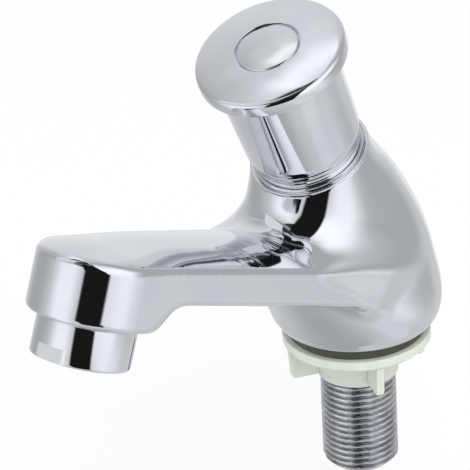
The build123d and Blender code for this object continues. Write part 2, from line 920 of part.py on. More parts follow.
# Bare round disc that hides the screw
with BuildPart() as cap_disc:
    with BuildSketch(neck_section):
        with BuildLine():
            disc_shoulder = (disc_radius - disc_edge, dome_height(disc_radius - disc_edge))
            ThreePointArc(
                (0, head_top),
                (disc_radius / 2, dome_height(disc_radius / 2)),
                disc_shoulder,
            )
            Polyline(
                disc_shoulder,
                (disc_radius, dome_height(disc_radius) - disc_edge),
                (disc_radius, disc_floor),
                (0, disc_floor),
                (0, head_top),
            )
        make_face()
    revolve(axis=neck_axis)
write("cap_disc", cap_disc)

# Slotted screw that clamps the cap on the stem
with BuildPart() as cap_screw:
    with BuildSketch(neck.offset(screw_seat - screw_length)):
        Circle(screw_radius)
    extrude(amount=screw_length)
    with BuildSketch(neck.offset(screw_seat)):
        Circle(screw_head_radius)
    extrude(amount=screw_head)
    with BuildSketch(neck.offset(screw_seat + screw_head - screw_slot_depth)):
        Rectangle(2 * screw_head_radius + cut_overrun, screw_slot)
    extrude(amount=screw_slot_depth, mode=Mode.SUBTRACT)
write("cap_screw", cap_screw)

# Aerator housing: threaded neck in the body, round ring below with two wrench flats
ring_top = block_depth + outlet_ring_gap
with BuildPart() as aerator_housing:
    ring_outline = outline(
        outlet_section,
        (aerator_bore_radius, -seal_low),
        (aerator_neck_radius, -seal_low),
        (aerator_neck_radius, -ring_top),
        (outlet_ring_radius, -ring_top),
        (outlet_ring_radius, outlet_ring_edge - outlet_ring_low),
        (outlet_ring_radius - outlet_ring_edge, -outlet_ring_low),
        (aerator_lip_radius, -outlet_ring_low),
        (aerator_lip_radius, -grid_low),
        (aerator_bore_radius, -grid_low),
    )
    revolve(ring_outline, axis=outlet_axis)
    flat_distance = outlet_ring_radius - flat_depth / 2
    with BuildSketch(outlet.offset(-outlet_ring_low)):
        with Locations((0, flat_distance), (0, -flat_distance)):
            Rectangle(2 * outlet_ring_radius, flat_depth)
    extrude(amount=flat_height, mode=Mode.SUBTRACT)
write("aerator_housing", aerator_housing)

with BuildPart() as aerator_seal:
    with BuildSketch(outlet.offset(-seal_low)):
        Circle(aerator_neck_radius)
        Circle(seal_bore_radius, mode=Mode.SUBTRACT)
    extrude(amount=seal_thickness)
write("aerator_seal", aerator_seal)

# Aerator insert: a cup whose floor is drilled with a circle of jets
insert_radius = aerator_bore_radius - seat_fit
with BuildPart() as aerator_insert:
    insert_outline = outline(
        outlet_section,
        (0, -seal_low),
        (insert_radius, -seal_low),
        (insert_radius, -insert_low),
        (insert_radius - insert_wall, -insert_low),
        (insert_radius - insert_wall, -seal_low - insert_floor),
        (0, -seal_low - insert_floor),
    )
    revolve(insert_outline, axis=outlet_axis)
    with BuildSketch(outlet.offset(-seal_low)):
        with PolarLocations(jet_circle_radius, jet_count):
            Circle(jet_radius)
    extrude(amount=-insert_floor, mode=Mode.SUBTRACT)
write("aerator_insert", aerator_insert)

with BuildPart() as flow_regulator:
    with BuildSketch(outlet.offset(-seal_low)):
        Circle(regulator_radius)
        Circle(regulator_hole, mode=Mode.SUBTRACT)
    extrude(amount=regulator_height)
write("flow_regulator", flow_regulator)

# Fine screen and the coarse grid under it, clamped between the insert and the ring's lip
with BuildPart() as aerator_screen:
    with BuildSketch(outlet.offset(-insert_low - screen_thickness)):
        Circle(insert_radius)
        with Locations(*hole_places(screen_pitch)):
            Circle(screen_hole, mode=Mode.SUBTRACT)
    extrude(amount=screen_thickness)
write("aerator_screen", aerator_screen)

with BuildPart() as outlet_grid:
    with BuildSketch(outlet.offset(-grid_low)):
        Circle(insert_radius)
        with Locations(*hole_places(grid_pitch)):
            RegularPolygon(grid_hole, 6, major_radius=False, mode=Mode.SUBTRACT)
    extrude(amount=grid_low - insert_low - screen_thickness)
write("outlet_grid", outlet_grid)
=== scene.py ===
"""Push timed tap for a basin deck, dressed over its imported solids.

Shapes are worked out in millimetres in three frames and stored in metres. The row frame has its
origin where the shank's axis crosses the deck, +Z up, spout towards -Y. The neck frame leans
22.5 degrees forward and carries the button. The outlet frame is square to the plane in which the
spout's top edges lie, and its axis runs through the aerator.
"""
import json
import math

import bmesh
import bpy
import numpy as np
from mathutils import Matrix, Vector


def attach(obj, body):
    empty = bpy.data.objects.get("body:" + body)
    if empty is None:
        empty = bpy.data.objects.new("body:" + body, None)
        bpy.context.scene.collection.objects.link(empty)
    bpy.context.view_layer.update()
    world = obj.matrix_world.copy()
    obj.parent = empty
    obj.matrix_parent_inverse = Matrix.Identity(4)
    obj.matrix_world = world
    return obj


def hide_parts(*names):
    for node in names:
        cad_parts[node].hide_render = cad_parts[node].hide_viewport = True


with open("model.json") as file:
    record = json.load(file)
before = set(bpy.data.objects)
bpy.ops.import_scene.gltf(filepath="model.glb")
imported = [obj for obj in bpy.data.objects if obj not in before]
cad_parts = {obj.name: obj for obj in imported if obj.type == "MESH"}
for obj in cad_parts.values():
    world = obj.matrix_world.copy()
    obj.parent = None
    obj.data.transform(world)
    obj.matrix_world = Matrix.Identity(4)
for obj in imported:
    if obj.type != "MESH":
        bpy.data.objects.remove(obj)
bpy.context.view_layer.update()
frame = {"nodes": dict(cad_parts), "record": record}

# The three frames
LEAN = math.radians(22.5)
LEAN_SIN = math.sin(LEAN)
LEAN_COS = math.cos(LEAN)
NECK_OFFSET = 8.18
TIP_DISTANCE = 106.65
SPOUT_TOP = 24.38

# Column of the body, from its foot to the rim of the neck. Each station has its share of the
# column's height, shift and lean, of its flare over the neck, and of the belly's radius in front.
COLUMN_FOOT = 5.4
COLUMN_HEIGHT = 54.745
COLUMN_SHIFT = -16.73
COLUMN_PLACES = 4096
BELLY_RADIUS = 23.7
NECK_RADIUS = 16.35
HEIGHT_SHARES = np.array([0, 0.066, 0.268, 0.490, 0.638, 0.765, 0.893, 1])
SHIFT_SHARES = np.array([0, 0, 0.06, 0.245, 0.42, 0.60, 0.845, 1])
LEAN_SHARES = np.array([0, 0, 0.13, 0.40, 0.58, 0.74, 0.92, 1])
FLARE_SHARES = np.array([0.88, 1, 0.94, 0.79, 0.60, 0.38, 0.15, 0])
FRONT_SHARES = np.array([0, 0.03, 0.22, 0.43, 0.70, 0.54, 0.20, 0])
FOOT_EDGE = 4.3
RIM_SEAM = 65.15
RIM_SEAM_EDGE = 0.1
RIM_TOP = 65.9
RIM_BORE = 15.4

# Spout, measured along the plane of its top edges and below it
SPOUT_START = 6
SPOUT_TAPER = math.radians(2.86)
REAR_CORNER = 9.0
TIP_RADIUS = 16.4
SIDE_SPREAD = 0.05
BARREL_RISE = 4.3
BARREL_SINK = 0.2
BARREL_FADE_IN = (8, 42)
BARREL_TIP_LOSS = 1.6
BARREL_TIP_PLACES = (85, 112)
TOP_EDGE = 1.1
TOP_EDGE_TIP_GAIN = 0.8
TOP_EDGE_TIP_PLACES = (95, 115)
LOW_EDGE = 1.7
UNDERSIDE_PLACES = (2, 127.05)
UNDERSIDE_DEPTHS = (10.9, 9.3)
BLOCK_DEPTH = 17
BLOCK_FOOT_RADIUS = 18
BLOCK_SLOPE = math.radians(31)
BLOCK_FORWARD = 1.5
BLOCK_EDGE = 1.4
BLOCK_FILLET = 3.0

# Reach of the fillet between the column and the spout
REACH_ON_TOP = 8.5
REACH_SIDES_GAIN = 4.5
REACH_SIDES = (9, 17)
REACH_UNDER = 1.2
REACH_REAR_GAIN = 4.0
REACH_REAR = (30, 14)
REACH_DEPTHS = (-3, 11)

# Hollows of the body
POCKET_RADIUS = 13.2
POCKET_FLOOR = 34
NOSE_BORE = 9.33
NOSE_BORE_LOW = 29
CHAMBER_RADIUS = 9.8
CHAMBER_LOW = 15.5
CHAMBER_TOP = 29.5
FOOT_RECESS_RADIUS = 17.5
FOOT_RECESS_TOP = 10.8
SHANK_BOSS_RADIUS = 12.75
SPIGOT_BORE = 9.345
SHANK_TOP = 11
SHANK_BORE = 6.6
INLET_TOP = 19
CHANNEL_HALF_WIDTH = 11
CHANNEL_START = 13
CHANNEL_TOP = 2.6
CHANNEL_LOW = 7.4
OUTLET_BORE = 11.5
OUTLET_TOP = 7

# Grid that the casting's skin is drawn from
SKIN_LOW = (-26.5, -123.5, 1.5)
SKIN_HIGH = (26.5, 30, 73.5)
SKIN_STEP = 0.66

# Finish of the other meshes: distances in metres, the angle past which an edge stays sharp, and the
# most of a side that a rounding may take
MERGE_DISTANCE = 1e-6
EMPTY_FACE_DISTANCE = 1e-7
SHARP_ANGLE = math.radians(28)
ROUNDING_SHARE = 0.48

# Collar in the neck, heights along the neck's axis
COLLAR_FOOT = 54
COLLAR_BORE = 10.45
COLLAR_THREAD_RADIUS = 13.17
COLLAR_FLANGE_LOW = 65.2
COLLAR_FLANGE_TOP = 65.75
COLLAR_FLANGE_RADIUS = 15.2
COLLAR_BAND_LOW = 66.05
COLLAR_BAND_TOP = 67.3
COLLAR_BAND_RADIUS = 14.55
COLLAR_LINE_LOW = 68.2
COLLAR_LINE_TOP = 68.7
COLLAR_LINE_RADIUS = 14.05
COLLAR_STEP_TOP = 67.5
COLLAR_RADIUS = 14.3
COLLAR_LID_LOW = 78
COLLAR_TOP = 84
BUSH_BORE = 5.2

# Ring under the spout, heights along the outlet's axis
RING_NECK_TOP = -9.6
RING_NECK_RADIUS = 11.4
RING_TOP = -17.35
RING_RADIUS = 13.05
RING_FLATS_TOP = -24.0
RING_FLATS_LEAD_IN = 0.4
RING_FLATS_STEP = 0.02
RING_FLATS_APART = 24.5
RING_FLATS_FLOOR = 10.6
RING_LOW = -28
RING_BORE = 10.1
RING_LIP_RADIUS = 9.3
RING_LIP_TOP = -26.8

# Gasket on the deck
GASKET_RADIUS = 18.8
GASKET_THICKNESS = 2.8
GASKET_EDGE = 0.5
NUT_BORE = 10.73

# Threaded shank
THREAD_ROOT = 9.3155
THREAD_DEPTH = 1.162
THREAD_PITCH = 1.814
THREAD_START = -0.2
THREAD_FADE = 0.8
THREAD_STEEPNESS = 0.72
THREAD_ROWS = 16
SHANK_LOW = -41
SHANK_END_RADIUS = 8.52

# Push button, heights along the neck's axis
CROWN_TOP = 105.05
CROWN_FALL = 1.7
CROWN_SPAN = 18
CROWN_END = 17.5
CROWN_POINTS = 24
GROOVE_RADIUS = 8.95
HEAD_SHOULDER_RADIUS = 20.2
HEAD_SHOULDER = 102.94
HEAD_RADIUS = 20.4
HEAD_BAND_TOP = 101.0
HEAD_BAND_LOW = 98.95
SKIRT_TOP_RADIUS = 16.6
SKIRT_TOP = 98.4
SKIRT_LOW_RADIUS = 15.7
SKIRT_BEVEL = 72.5
SKIRT_END_RADIUS = 15.0
SKIRT_LOW = 70.0
CAP_BORE = 14.65
CAP_ROOF = 100
CAP_BOSS_RADIUS = 5.5
CAP_BOSS_LOW = 93
SCREW_BORE = 2.05
SCREW_SEAT = 101.25
SCREW_HEAD_BORE = 3.85
DISC_FLOOR = 103.5
DISC_RADIUS = 8.5
DISC_TOP = 105.25
DISC_FLATNESS = 76
DISC_EDGE = 0.4
DISC_POINTS = 14

# Wing backnut
NUT_RECESS_RADIUS = 16.75
NUT_RECESS = -0.8
NUT_FLANGE_RADIUS = 20.5
NUT_FLANGE_RIM = -2.4
NUT_FLANGE_FOOT_RADIUS = 19.2
NUT_FLANGE_FOOT = -3.5
NUT_HUB_TOP_RADIUS = 12.2
NUT_HUB_FOOT_RADIUS = 11.2
NUT_LOW = -13
NUT_EDGE = 0.28
NUT_EDGE_ANGLE = math.radians(40)
WING_COUNT = 4
WING_TURN = -32
WING_HALF_THICKNESS = 1.05
WING_ROOT_RADIUS = 11.0
WING_RADIUS = 19.9
WING_FOOT_RADIUS = 19.4
WING_TOP = -2.6
WING_LOW = -11.8
WING_CORNER = 1.3

# Origin and the three axes of each frame, as rows
BASE = np.array([[0, 0, 0], [1, 0, 0], [0, 1, 0], [0, 0, 1]], float)
NECK = np.array([[0, NECK_OFFSET, 0], [1, 0, 0], [0, LEAN_COS, LEAN_SIN], [0, -LEAN_SIN, LEAN_COS]])
OUTLET = np.array([
    [0, -TIP_DISTANCE * LEAN_COS, SPOUT_TOP + TIP_DISTANCE * LEAN_SIN],
    [1, 0, 0],
    [0, LEAN_COS, -LEAN_SIN],
    [0, LEAN_SIN, LEAN_COS],
])


# Shape of the casting

STATION_HEIGHT = COLUMN_FOOT + COLUMN_HEIGHT * HEIGHT_SHARES
STATION_SHIFT = COLUMN_SHIFT * SHIFT_SHARES
STATION_LEAN = LEAN * LEAN_SHARES
STATION_RADIUS = NECK_RADIUS + (BELLY_RADIUS - NECK_RADIUS) * FLARE_SHARES
STATION_FRONT = STATION_RADIUS + BELLY_RADIUS * FRONT_SHARES


def smooth_curve(knots, values, places):
    """Natural cubic spline: the curve through the knots whose bending is zero at both ends."""
    gap = np.diff(knots)
    rise = np.diff(values) / gap
    matrix = np.diag(np.r_[1, 2 * (gap[:-1] + gap[1:]), 1])
    matrix += np.diag(np.r_[0, gap[1:]], 1) + np.diag(np.r_[gap[:-1], 0], -1)
    bend = np.linalg.solve(matrix, np.r_[0, 6 * np.diff(rise), 0])
    i = np.clip(np.searchsorted(knots, places) - 1, 0, len(gap) - 1)
    low, high = places - knots[i], knots[i + 1] - places
    return ((bend[i] * high ** 3 + bend[i + 1] * low ** 3) / (6 * gap[i])
            + (values[i] / gap[i] - bend[i] * gap[i] / 6) * high
            + (values[i + 1] / gap[i] - bend[i + 1] * gap[i] / 6) * low)


STATION_PLACES = np.linspace(STATION_HEIGHT[0], STATION_HEIGHT[-1], COLUMN_PLACES)
COLUMN = [smooth_curve(STATION_HEIGHT, values, STATION_PLACES)
          for values in (STATION_SHIFT, STATION_LEAN, STATION_RADIUS, STATION_FRONT)]


def column_section(y, z):
    """The station plane through a point, found by halving: its distance v behind the station's
    centre, the station's radius, and the half length of its front."""
    shift, lean, radius, front = COLUMN
    low = np.zeros(np.broadcast(y, z).shape, int)
    high = low + COLUMN_PLACES - 1

    def over(i):
        return (shift[i] - y) * np.sin(lean[i]) + (z - STATION_PLACES[i]) * np.cos(lean[i])

    for _ in range(int(math.log2(COLUMN_PLACES))):
        middle = (low + high) // 2
        above = over(middle) > 0
        low, high = np.where(above, middle, low), np.where(above, high, middle)
    start, end = over(low), over(high)
    share = np.clip(start / np.maximum(start - end, 1e-9), 0, 1)
    shift, lean, radius, front, place = (
        curve[low] + share * (curve[high] - curve[low]) for curve in (*COLUMN, STATION_PLACES))
    v = (y - shift) * np.cos(lean) + (z - place) * np.sin(lean)
    return v, radius, front


def both(a, b, radius):
    """What lies inside both shapes, their common edge rounded: beyond the edge's centre line the
    distance is that to a circle of this radius."""
    return (np.hypot(np.maximum(a + radius, 0), np.maximum(b + radius, 0))
            + np.minimum(np.maximum(a, b) + radius, 0) - radius)


def either(a, b, reach):
    """What lies inside one shape or the other, with a smooth fillet: the smaller distance, less a
    parabola in their difference that dies out at the reach."""
    share = np.maximum(reach - np.abs(a - b), 0) / reach
    return np.minimum(a, b) - share ** 2 * reach / 4


def ramp(value, start, end):
    """Rises from 0 at the start to 1 at the end with no slope at either: three squares less two
    cubes of the share of the way."""
    share = np.clip((value - start) / (end - start), 0, 1)
    return share * share * (3 - 2 * share)


def neck_height(y, z):
    """Height along the neck's axis."""
    return -LEAN_SIN * (y - NECK_OFFSET) + LEAN_COS * z


def column_field(x, y, z):
    """Distance outside the column. Behind a station's centre it is the distance to a half circle,
    in front of it that to a half ellipse, to first order. The neck's rim cuts it off."""
    v, radius, front = column_section(y, z)
    ratio = np.hypot(x / radius, v / front)
    slope = np.maximum(np.hypot(x / radius ** 2, v / front ** 2), 1e-9)
    column = np.where(v > 0, np.hypot(x, v) - radius, ratio * (ratio - 1) / slope)
    return both(column, neck_height(y, z) - RIM_SEAM, RIM_SEAM_EDGE)


def spout_field(x, along, depth):
    """Distance outside the spout. Its plan tapers to a round tip and has rounded rear corners that
    stay within the column. Its top is barrelled: a parabola across, which fades in from the column
    and is lower at the tip. Below it ends at the underside or the outlet block's cone."""
    past = (along - TIP_DISTANCE) * math.cos(SPOUT_TAPER) - np.abs(x) * math.sin(SPOUT_TAPER) > 0
    side = np.abs(x) * math.cos(SPOUT_TAPER) + (along - TIP_DISTANCE) * math.sin(SPOUT_TAPER)
    plan = np.where(past, np.hypot(x, along - TIP_DISTANCE), side) - TIP_RADIUS
    plan = both(plan, SPOUT_START - along, REAR_CORNER)

    under = depth - np.interp(along, UNDERSIDE_PLACES, UNDERSIDE_DEPTHS)
    cone_radius = BLOCK_FOOT_RADIUS + (BLOCK_DEPTH - depth) * math.tan(BLOCK_SLOPE)
    cone = np.hypot(x, along - TIP_DISTANCE - BLOCK_FORWARD) - cone_radius
    block = both(cone * math.cos(BLOCK_SLOPE), depth - BLOCK_DEPTH, BLOCK_EDGE)
    low = either(under, block, BLOCK_FILLET)

    half_width = TIP_RADIUS + SIDE_SPREAD * np.maximum(TIP_DISTANCE - along, 0)
    off_middle = (x ** 2 + np.maximum(along - TIP_DISTANCE, 0) ** 2) / half_width ** 2
    crest = BARREL_RISE - BARREL_TIP_LOSS * ramp(along, *BARREL_TIP_PLACES)
    rise = crest * (1 - off_middle) - BARREL_SINK
    top = -depth - rise * ramp(along, *BARREL_FADE_IN)
    top_edge = TOP_EDGE + TOP_EDGE_TIP_GAIN * ramp(along, *TOP_EDGE_TIP_PLACES)
    return both(both(plan, top, top_edge), low, LOW_EDGE)


def hollow_field(x, y, z, along, depth):
    """Distance outside the hollows: on the neck's axis the cartridge's pocket, its nose's bore and
    the inlet chamber, on the shank's axis the foot's ring, the spigot's bore and the inlet, and the
    flat channel along the spout to the outlet's bore."""
    height = neck_height(y, z)
    axle = np.hypot(x, LEAN_COS * (y - NECK_OFFSET) + LEAN_SIN * z)
    pocket = np.maximum(axle - POCKET_RADIUS, POCKET_FLOOR - height)
    nose = np.maximum(axle - NOSE_BORE, NOSE_BORE_LOW - height)
    chamber = np.maximum(axle - CHAMBER_RADIUS, np.maximum(CHAMBER_LOW - height, height - CHAMBER_TOP))
    cartridge = np.minimum(np.minimum(pocket, nose), chamber)

    centre = np.hypot(x, y)
    ring = np.maximum(centre - FOOT_RECESS_RADIUS, SHANK_BOSS_RADIUS - centre)
    spigot = np.maximum(centre - SPIGOT_BORE, z - SHANK_TOP)
    inlet = np.maximum(centre - SHANK_BORE, z - INLET_TOP)
    foot = np.minimum(np.maximum(ring, z - FOOT_RECESS_TOP), np.minimum(spigot, inlet))

    plan = np.hypot(x, np.maximum(along - TIP_DISTANCE, 0)) - CHANNEL_HALF_WIDTH
    channel = np.maximum(np.maximum(plan, CHANNEL_START - along),
                         np.maximum(CHANNEL_TOP - depth, depth - CHANNEL_LOW))
    outlet = np.maximum(np.hypot(x, along - TIP_DISTANCE) - OUTLET_BORE, OUTLET_TOP - depth)
    return np.minimum(np.minimum(cartridge, foot), np.minimum(channel, outlet))


def body_field(x, y, z):
    """Distance outside the casting, negative within it: the column and the spout, joined by a
    fillet that is wide on top and narrow below, cut off and rounded at the foot, less the
    hollows."""
    along = -LEAN_COS * y + LEAN_SIN * (z - SPOUT_TOP)
    depth = -LEAN_SIN * y - LEAN_COS * (z - SPOUT_TOP)
    under_reach = REACH_UNDER + REACH_REAR_GAIN * ramp(along, *REACH_REAR)
    top_reach = REACH_ON_TOP + REACH_SIDES_GAIN * ramp(np.abs(x), *REACH_SIDES)
    reach = top_reach + (under_reach - top_reach) * ramp(depth, *REACH_DEPTHS)
    shape = either(column_field(x, y, z), spout_field(x, along, depth), reach)
    shape = both(shape, GASKET_THICKNESS - z, FOOT_EDGE)
    return np.maximum(shape, -hollow_field(x, y, z, along, depth))


def field_slope(field, points, step=0.02):
    """Gradient of a field at points, by central differences."""
    columns = []
    for axis in range(3):
        ahead, back = points.copy(), points.copy()
        ahead[:, axis] += step
        back[:, axis] -= step
        columns.append((field(*ahead.T) - field(*back.T)) / (2 * step))
    return np.stack(columns, 1)


def skin(field, low, high, step, rounds=3, longest_move=0.3, least_slope=0.2):
    """A closed mesh where a field is zero, and its normals. Each grid cell that the surface crosses
    gets one point, the mean of the crossings on its edges, and each crossed grid edge gets the quad
    of its four cells. A few Newton rounds along the gradient put every point on the surface."""
    axes = [np.arange(a, b + step, step) for a, b in zip(low, high)]
    value = field(axes[0][:, None, None], axes[1][None, :, None], axes[2][None, None, :])
    cells = np.array(value.shape) - 1
    total = np.zeros((*cells, 3))
    count = np.zeros(cells)
    corner = np.indices((2, 2, 2)).reshape(3, -1).T

    def at(offset):
        return value[tuple(slice(o, o + c) for o, c in zip(offset, cells))]

    for axis in range(3):
        for start in corner[corner[:, axis] == 0]:
            end = start.copy()
            end[axis] = 1
            a, b = at(start), at(end)
            crossed = (a < 0) != (b < 0)
            share = a[crossed] / (a[crossed] - b[crossed])
            point = np.tile(start.astype(float), (len(share), 1))
            point[:, axis] += share
            total[crossed] += point
            count[crossed] += 1
    used = np.argwhere(count > 0)
    number = np.full(tuple(cells), -1)
    number[tuple(used.T)] = np.arange(len(used))
    points = used + total[tuple(used.T)] / count[tuple(used.T)][:, None]
    points = points * step + np.array([a[0] for a in axes])
    quads = []
    for axis in range(3):
        first = np.moveaxis(value, axis, 0)
        table = np.moveaxis(number, axis, 0)
        inner = first[:, 1:-1, 1:-1]
        a, b = inner[:-1], inner[1:]
        rows, i, j = np.nonzero((a < 0) != (b < 0))
        ring = np.stack([table[rows, i, j], table[rows, i + 1, j],
                         table[rows, i + 1, j + 1], table[rows, i, j + 1]], 1)
        outward = (a[rows, i, j] < 0) == (axis != 1)
        ring[~outward] = ring[~outward][:, ::-1]
        quads.append(ring)
    for _ in range(rounds):
        slope = field_slope(field, points)
        steepness = np.maximum((slope ** 2).sum(1), least_slope)[:, None]
        move = field(*points.T)[:, None] * slope / steepness
        points -= np.clip(move, -longest_move, longest_move)
    slope = field_slope(field, points)
    return points, np.concatenate(quads), slope / np.linalg.norm(slope, axis=1)[:, None]


# Meshes

def dress(piece, material):
    """Gives a piece one material in all of its slots."""
    if not piece.material_slots:
        piece.data.materials.append(material)
    for slot in piece.material_slots:
        slot.material = material


def new_piece(name, points, faces, body, slot, replaced=(), normals=None):
    """A smooth piece from points in millimetres and faces, riding on a body and dressed for its
    slot. Without normals of its own it is closed up, turned outwards and given sharp edges."""
    mesh = bpy.data.meshes.new(name)
    faces = faces.tolist() if isinstance(faces, np.ndarray) else faces
    mesh.from_pydata((points / 1000).tolist(), [], faces)
    if normals is None:
        work = bmesh.new()
        work.from_mesh(mesh)
        bmesh.ops.remove_doubles(work, verts=work.verts, dist=MERGE_DISTANCE)
        bmesh.ops.dissolve_degenerate(work, edges=work.edges, dist=EMPTY_FACE_DISTANCE)
        bmesh.ops.recalc_face_normals(work, faces=work.faces)
        work.to_mesh(mesh)
        work.free()
    mesh.update()
    mesh.shade_smooth()
    if normals is None:
        mesh.set_sharp_from_angle(angle=SHARP_ANGLE)
    else:
        mesh.normals_split_custom_set_from_vertices(normals.tolist())
    piece = bpy.data.objects.new(name, mesh)
    bpy.context.collection.objects.link(piece)
    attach(piece, body)
    if replaced:
        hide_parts(*replaced)
    dress(piece, SLOT_MATERIAL[slot])
    return piece


def rounded(corners, steps=6):
    """A profile from (radius, height, rounding) corners. Each rounding is a parabola between the
    two places that lie its length before and after the corner."""
    corners = np.array(corners, float)
    place, size = corners[:, :2], corners[:, 2:3]
    before, after = np.roll(place, 1, 0) - place, np.roll(place, -1, 0) - place
    before_length = np.linalg.norm(before, axis=1)[:, None]
    after_length = np.linalg.norm(after, axis=1)[:, None]
    start = place + before / before_length * np.minimum(size, before_length * ROUNDING_SHARE)
    end = place + after / after_length * np.minimum(size, after_length * ROUNDING_SHARE)
    t = np.linspace(0, 1, steps)[None, :, None]
    curve = (1 - t) ** 2 * start[:, None] + 2 * t * (1 - t) * place[:, None] + t ** 2 * end[:, None]
    keep = np.ones((len(corners), steps), bool)
    keep[size[:, 0] == 0, 1:] = False
    return curve[keep]


def turned(place, profile, turns=144, shape=None):
    """A closed profile of (radius, height) carried round a frame's axis. A shape function may
    change the radius at each angle and height."""
    angle = np.linspace(0, 2 * np.pi, turns, endpoint=False)
    radius = np.repeat(profile[:, :1], turns, 1)
    height = np.repeat(profile[:, 1:2], turns, 1)
    if shape is not None:
        radius, height = shape(radius, height, angle[None, :])
    points = (place[0] + (radius * np.cos(angle))[..., None] * place[1]
              + (radius * np.sin(angle))[..., None] * place[2] + height[..., None] * place[3])
    row, column = np.indices((len(profile), turns))
    ahead, beside = (row + 1) % len(profile), (column + 1) % turns
    quads = np.stack([row * turns + column, ahead * turns + column,
                      ahead * turns + beside, row * turns + beside], -1)
    return points.reshape(-1, 3), quads.reshape(-1, 4)


# Shader groups

def new_group(name, inputs, outputs):
    """An empty shader group with named sockets."""
    group = bpy.data.node_groups.new(name, "ShaderNodeTree")
    for label, kind, value in inputs:
        socket = group.interface.new_socket(label, in_out="INPUT", socket_type=kind)
        socket.default_value = value
    for label, kind in outputs:
        group.interface.new_socket(label, in_out="OUTPUT", socket_type=kind)
    return group, group.nodes.new("NodeGroupInput"), group.nodes.new("NodeGroupOutput")


def node(tree, kind, settings=None, **links):
    """A node with its settings, and its sockets set or linked by position or name."""
    made = tree.nodes.new(kind)
    for key, value in (settings or {}).items():
        setattr(made, key, value)
    for key, value in links.items():
        by_place = key[0] == "i" and key[1:].isdigit()
        socket = made.inputs[int(key[1:]) if by_place else key.replace("_", " ")]
        if isinstance(value, bpy.types.NodeSocket):
            tree.links.new(value, socket)
        else:
            socket.default_value = value
    return made


def placed(tree, group, values):
    """A shader group placed in a tree, with its sockets set or linked by their labels."""
    made = tree.nodes.new("ShaderNodeGroup")
    made.node_tree = group
    for label, value in values.items():
        if isinstance(value, bpy.types.NodeSocket):
            tree.links.new(value, made.inputs[label])
        else:
            made.inputs[label].default_value = value
    return made


def mottle_group():
    """Colour and roughness that drift between two values with a soft noise, and a fine noise for
    the roughness on top of it."""
    group, source, sink = new_group(
        "surface_mottle",
        [("First Colour", "NodeSocketColor", (0.8, 0.8, 0.8, 1)),
         ("Second Colour", "NodeSocketColor", (0.7, 0.7, 0.7, 1)),
         ("Smoothest", "NodeSocketFloat", 0.1), ("Roughest", "NodeSocketFloat", 0.3),
         ("Patch Scale", "NodeSocketFloat", 60.0), ("Grain Scale", "NodeSocketFloat", 900.0)],
        [("Colour", "NodeSocketColor"), ("Roughness", "NodeSocketFloat"),
         ("Grain", "NodeSocketFloat")])
    place = node(group, "ShaderNodeTexCoord").outputs["Object"]
    patch = node(group, "ShaderNodeTexNoise", Vector=place, Scale=source.outputs["Patch Scale"],
                 Detail=2.0).outputs["Fac"]
    grain = node(group, "ShaderNodeTexNoise", Vector=place, Scale=source.outputs["Grain Scale"],
                 Detail=3.0).outputs["Fac"]
    soft = node(group, "ShaderNodeMapRange", {"interpolation_type": "SMOOTHSTEP"}, Value=patch,
                From_Min=0.35, From_Max=0.65).outputs["Result"]
    colour = node(group, "ShaderNodeMix", {"data_type": "RGBA"}, i0=soft)
    group.links.new(source.outputs["First Colour"], colour.inputs[6])
    group.links.new(source.outputs["Second Colour"], colour.inputs[7])
    patch_part = node(group, "ShaderNodeMath", {"operation": "MULTIPLY"}, i0=soft, i1=0.4)
    mean = node(group, "ShaderNodeMath", {"operation": "MULTIPLY_ADD"}, i0=grain, i1=0.6,
                i2=patch_part.outputs[0])
    rough = node(group, "ShaderNodeMapRange", Value=mean.outputs[0], From_Min=0.2, From_Max=0.8,
                 To_Min=source.outputs["Smoothest"], To_Max=source.outputs["Roughest"])
    group.links.new(colour.outputs[2], sink.inputs["Colour"])
    group.links.new(rough.outputs["Result"], sink.inputs["Roughness"])
    group.links.new(grain, sink.inputs["Grain"])
    return group


def ripple_group():
    """Height of the long shallow waves that hand polishing leaves on a casting."""
    group, source, sink = new_group("polish_ripple", [("Scale", "NodeSocketFloat", 40.0)],
                                    [("Height", "NodeSocketFloat")])
    place = node(group, "ShaderNodeTexCoord").outputs["Object"]
    wave = node(group, "ShaderNodeTexNoise", Vector=place, Scale=source.outputs["Scale"],
                Detail=0.5)
    group.links.new(wave.outputs["Fac"], sink.inputs["Height"])
    return group


MOTTLE = mottle_group()
RIPPLE = ripple_group()


def finish_material(name, first, second, smooth, rough, metallic=0.0, patch=60.0, grain=900.0,
                    ripple=0.0, ripple_scale=40.0, bump=0.0, **sockets):
    """A material on the Principled shader, its colour, roughness and bump from the groups."""
    material = bpy.data.materials.new(name)
    material.use_nodes = True
    tree = material.node_tree
    shader = tree.nodes["Principled BSDF"]
    shader.inputs["Metallic"].default_value = metallic
    for key, value in sockets.items():
        shader.inputs[key.replace("_", " ")].default_value = value
    mottle = placed(tree, MOTTLE, {
        "First Colour": (*first, 1), "Second Colour": (*second, 1), "Smoothest": smooth,
        "Roughest": rough, "Patch Scale": patch, "Grain Scale": grain})
    tree.links.new(mottle.outputs["Colour"], shader.inputs["Base Color"])
    tree.links.new(mottle.outputs["Roughness"], shader.inputs["Roughness"])
    if ripple or bump:
        raised = node(tree, "ShaderNodeBump", Strength=1.0, Distance=ripple or bump)
        if ripple:
            waves = placed(tree, RIPPLE, {"Scale": ripple_scale})
            tree.links.new(waves.outputs["Height"], raised.inputs["Height"])
        else:
            tree.links.new(mottle.outputs["Grain"], raised.inputs["Height"])
        tree.links.new(raised.outputs["Normal"], shader.inputs["Normal"])
    return material


# Finishes

